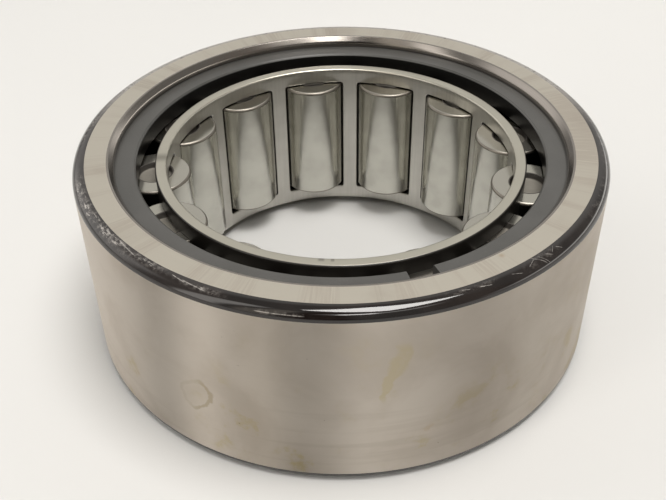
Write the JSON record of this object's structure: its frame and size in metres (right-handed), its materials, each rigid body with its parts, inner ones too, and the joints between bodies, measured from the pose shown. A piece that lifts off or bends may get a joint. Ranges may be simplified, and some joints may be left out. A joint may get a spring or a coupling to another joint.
{
  "type": "cylindrical roller bearing",
  "caption": "Cylindrical roller bearing without an inner ring: thick outer ring, window cage with rollers, and split retaining rings that hold the rollers in.",
  "frame": {"origin": "centre of the bearing, on its axis and half way between the two side faces", "axes": "+Z along the bearing's axis, out of the upper side face; +X and +Y lie in the middle plane"},
  "size_m": [0.08, 0.08, 0.031],
  "materials": {
    "ring_steel": "ground hardened steel, with a dark oxide left on its rounded corners",
    "retaining_ring": "matt dark phosphated spring steel",
    "cage_steel": "satin machined steel",
    "roller_steel": "lapped hardened steel"
  },
  "bodies": {
    "outer": {"outer_ring": "ring_steel", "upper_retaining_ring": "retaining_ring", "lower_retaining_ring": "retaining_ring"},
    "cage": {"cage": "cage_steel"},
    "roller_01": {"roller_01": "roller_steel"},
    "roller_02": {"roller_02": "roller_steel"},
    "roller_03": {"roller_03": "roller_steel"},
    "roller_04": {"roller_04": "roller_steel"},
    "roller_05": {"roller_05": "roller_steel"},
    "roller_06": {"roller_06": "roller_steel"},
    "roller_07": {"roller_07": "roller_steel"},
    "roller_08": {"roller_08": "roller_steel"},
    "roller_09": {"roller_09": "roller_steel"},
    "roller_10": {"roller_10": "roller_steel"},
    "roller_11": {"roller_11": "roller_steel"},
    "roller_12": {"roller_12": "roller_steel"},
    "roller_13": {"roller_13": "roller_steel"}
  },
  "joints": [
    {"name": "cage_spin", "type": "hinge", "parent": "outer", "child": "cage", "pos_m": [0, 0, 0], "axis": [0, 0, 1], "continuous": true},
    {"name": "roller_01_spin", "type": "hinge", "parent": "cage", "child": "roller_01", "pos_m": [-0.00496, 0.02815, 0], "axis": [0, 0, 1], "continuous": true},
    {"name": "roller_02_spin", "type": "hinge", "parent": "cage", "child": "roller_02", "pos_m": [-0.01747, 0.02262, 0], "axis": [0, 0, 1], "continuous": true},
    {"name": "roller_03_spin", "type": "hinge", "parent": "cage", "child": "roller_03", "pos_m": [-0.02598, 0.0119, 0], "axis": [0, 0, 1], "continuous": true},
    {"name": "roller_04_spin", "type": "hinge", "parent": "cage", "child": "roller_04", "pos_m": [-0.02854, -0.00153, 0], "axis": [0, 0, 1], "continuous": true},
    {"name": "roller_05_spin", "type": "hinge", "parent": "cage", "child": "roller_05", "pos_m": [-0.02456, -0.01462, 0], "axis": [0, 0, 1], "continuous": true},
    {"name": "roller_06_spin", "type": "hinge", "parent": "cage", "child": "roller_06", "pos_m": [-0.01495, -0.02436, 0], "axis": [0, 0, 1], "continuous": true},
    {"name": "roller_07_spin", "type": "hinge", "parent": "cage", "child": "roller_07", "pos_m": [-0.00192, -0.02852, 0], "axis": [0, 0, 1], "continuous": true},
    {"name": "roller_08_spin", "type": "hinge", "parent": "cage", "child": "roller_08", "pos_m": [0.01155, -0.02614, 0], "axis": [0, 0, 1], "continuous": true},
    {"name": "roller_09_spin", "type": "hinge", "parent": "cage", "child": "roller_09", "pos_m": [0.02238, -0.01778, 0], "axis": [0, 0, 1], "continuous": true},
    {"name": "roller_10_spin", "type": "hinge", "parent": "cage", "child": "roller_10", "pos_m": [0.02808, -0.00534, 0], "axis": [0, 0, 1], "continuous": true},
    {"name": "roller_11_spin", "type": "hinge", "parent": "cage", "child": "roller_11", "pos_m": [0.02734, 0.00832, 0], "axis": [0, 0, 1], "continuous": true},
    {"name": "roller_12_spin", "type": "hinge", "parent": "cage", "child": "roller_12", "pos_m": [0.02034, 0.02007, 0], "axis": [0, 0, 1], "continuous": true},
    {"name": "roller_13_spin", "type": "hinge", "parent": "cage", "child": "roller_13", "pos_m": [0.00869, 0.02723, 0], "axis": [0, 0, 1], "continuous": true}
  ],
  "couplings": [
    {"joint": "roller_01_spin", "follows": "cage_spin", "ratio": -6.1964},
    {"joint": "roller_02_spin", "follows": "cage_spin", "ratio": -6.1964},
    {"joint": "roller_03_spin", "follows": "cage_spin", "ratio": -6.1964},
    {"joint": "roller_04_spin", "follows": "cage_spin", "ratio": -6.1964},
    {"joint": "roller_05_spin", "follows": "cage_spin", "ratio": -6.1964},
    {"joint": "roller_06_spin", "follows": "cage_spin", "ratio": -6.1964},
    {"joint": "roller_07_spin", "follows": "cage_spin", "ratio": -6.1964},
    {"joint": "roller_08_spin", "follows": "cage_spin", "ratio": -6.1964},
    {"joint": "roller_09_spin", "follows": "cage_spin", "ratio": -6.1964},
    {"joint": "roller_10_spin", "follows": "cage_spin", "ratio": -6.1964},
    {"joint": "roller_11_spin", "follows": "cage_spin", "ratio": -6.1964},
    {"joint": "roller_12_spin", "follows": "cage_spin", "ratio": -6.1964},
    {"joint": "roller_13_spin", "follows": "cage_spin", "ratio": -6.1964}
  ]
}
